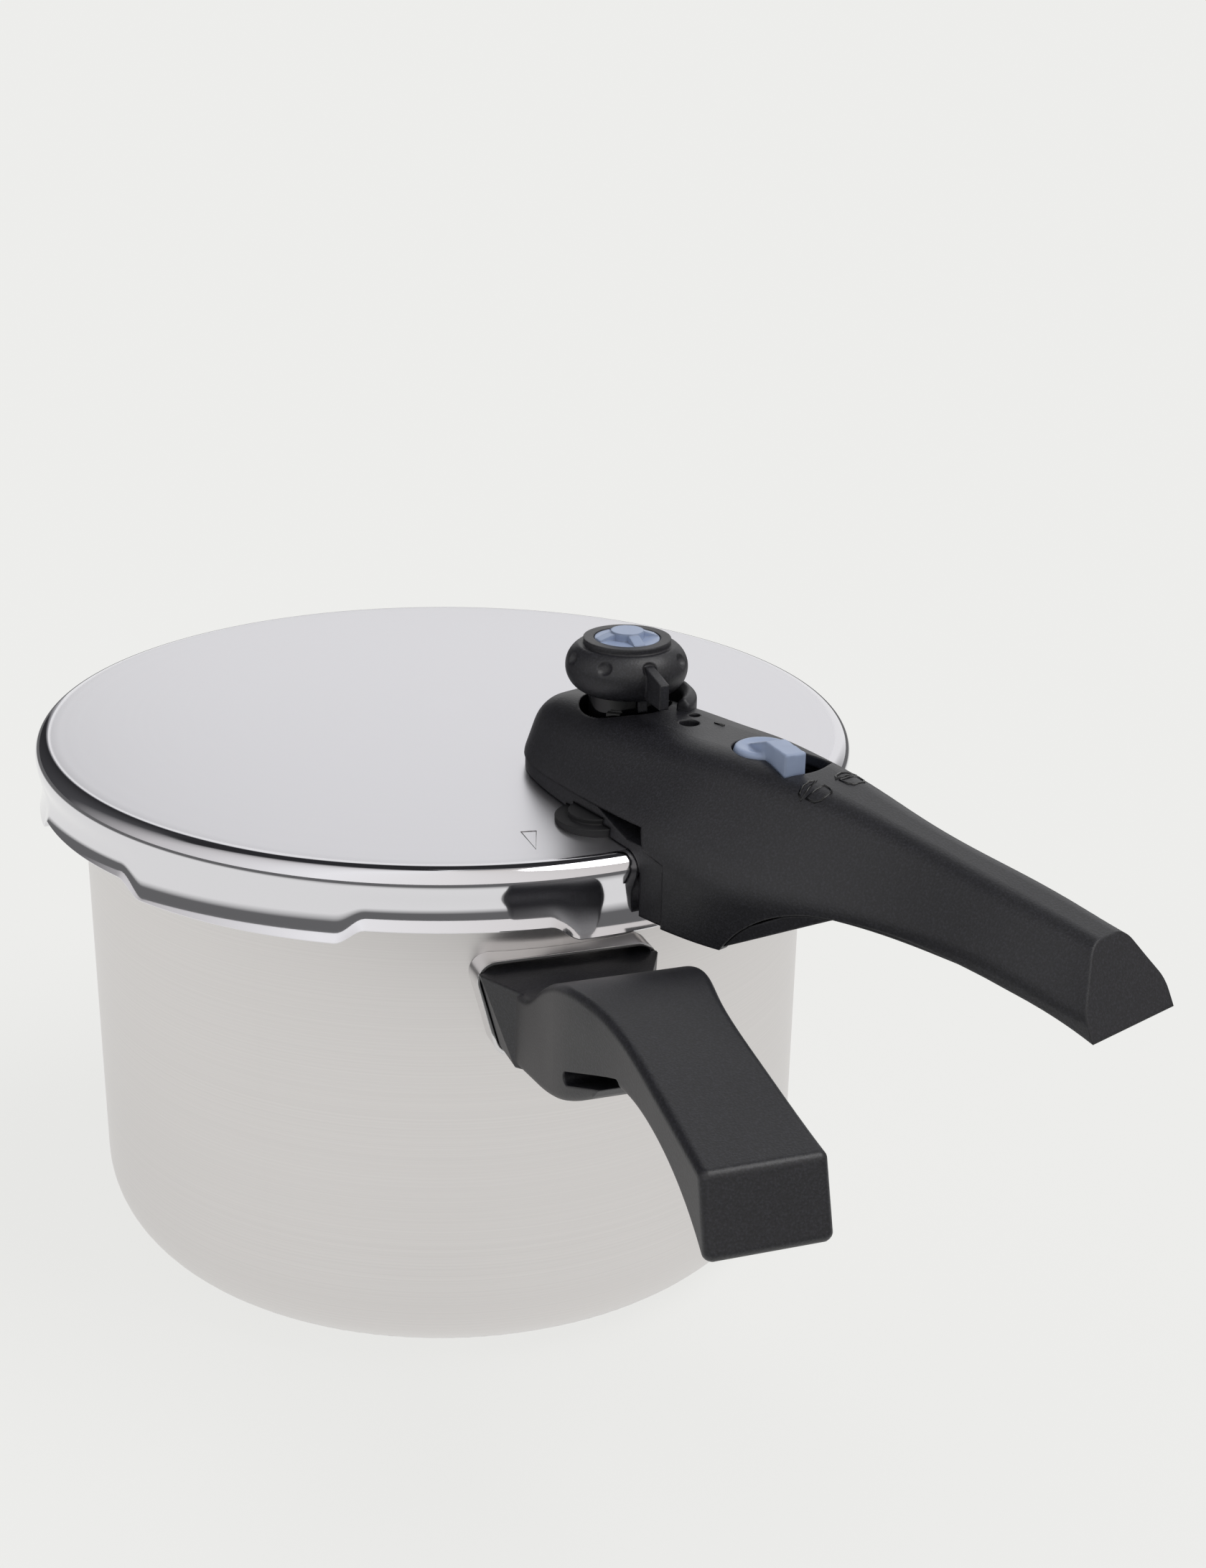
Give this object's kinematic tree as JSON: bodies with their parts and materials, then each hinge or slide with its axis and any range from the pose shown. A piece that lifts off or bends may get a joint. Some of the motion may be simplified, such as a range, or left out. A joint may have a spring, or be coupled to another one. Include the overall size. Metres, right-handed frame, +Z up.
{
  "type": "stovetop pressure cooker",
  "caption": "Round steel pressure cooker with a bayonet lid, two long black handles, a turning pressure valve and a turning lid lock.",
  "frame": {"origin": "centre of the base, on the surface that the cooker stands on", "axes": "+Z up, +X out along the pan handle"},
  "size_m": [0.3468, 0.2258, 0.1934],
  "materials": {
    "brushed_steel": "brushed around",
    "polished_steel": "polished stainless steel",
    "aluminium": "plain",
    "black_phenolic": "fine texture",
    "gloss_black_plastic": "glossy",
    "black_rubber": "smooth",
    "grey_blue_plastic": "satin",
    "plated_screw_steel": "turned"
  },
  "bodies": {
    "pan": {"pan_body": "brushed_steel", "base_disc": "aluminium", "base_cap": "brushed_steel", "pan_handle_bracket": "polished_steel", "pan_handle": "black_phenolic", "pan_handle_screw": "plated_screw_steel"},
    "gasket": {"sealing_ring": "black_rubber"},
    "lid": {"lid_shell": "polished_steel", "lid_bracket": "polished_steel", "lid_handle_shell": "black_phenolic", "lid_handle_base": "black_phenolic", "lid_handle_screws": "plated_screw_steel", "cover_screws": "plated_screw_steel", "vent_pipe": "plated_screw_steel", "vent_washer": "black_rubber", "vent_nut": "plated_screw_steel", "vent_shield": "polished_steel", "safety_plug": "black_rubber", "indicator_seal": "black_rubber"},
    "valve": {"valve_collar": "gloss_black_plastic", "valve_knob": "black_phenolic", "valve_cap": "grey_blue_plastic", "valve_spring": "plated_screw_steel"},
    "needle": {"valve_needle": "plated_screw_steel"},
    "lock": {"lock_lever": "grey_blue_plastic", "lock_cam": "plated_screw_steel", "lock_rivet": "plated_screw_steel"},
    "indicator": {"indicator_pin": "plated_screw_steel"}
  },
  "joints": [
    {"name": "lid_lift", "type": "slide", "parent": "pan", "child": "gasket", "axis": [0, 0, 1], "range_m": [0, 0.06]},
    {"name": "lid_turn", "type": "hinge", "parent": "gasket", "child": "lid", "pos_m": [0, 0, 0.15], "axis": [0, 0, 1], "range_deg": [-23, 0]},
    {"name": "valve_turn", "type": "hinge", "parent": "lid", "child": "valve", "pos_m": [0.06646, 0.02821, 0.172], "axis": [0, 0, 1], "range_deg": [-45, 45]},
    {"name": "needle_lift", "type": "slide", "parent": "valve", "child": "needle", "axis": [0, 0, 1], "range_m": [0, 0.0018], "stiffness_N_per_m": 400, "springref_m": -0.002, "deforming": ["valve_spring"]},
    {"name": "lock_turn", "type": "hinge", "parent": "lid", "child": "lock", "pos_m": [0.11166, 0.0474, 0.168], "axis": [0, 0, 1], "range_deg": [0, 38]},
    {"name": "indicator_rise", "type": "slide", "parent": "lid", "child": "indicator", "axis": [0, 0, 1], "range_m": [0, 0.004]}
  ]
}
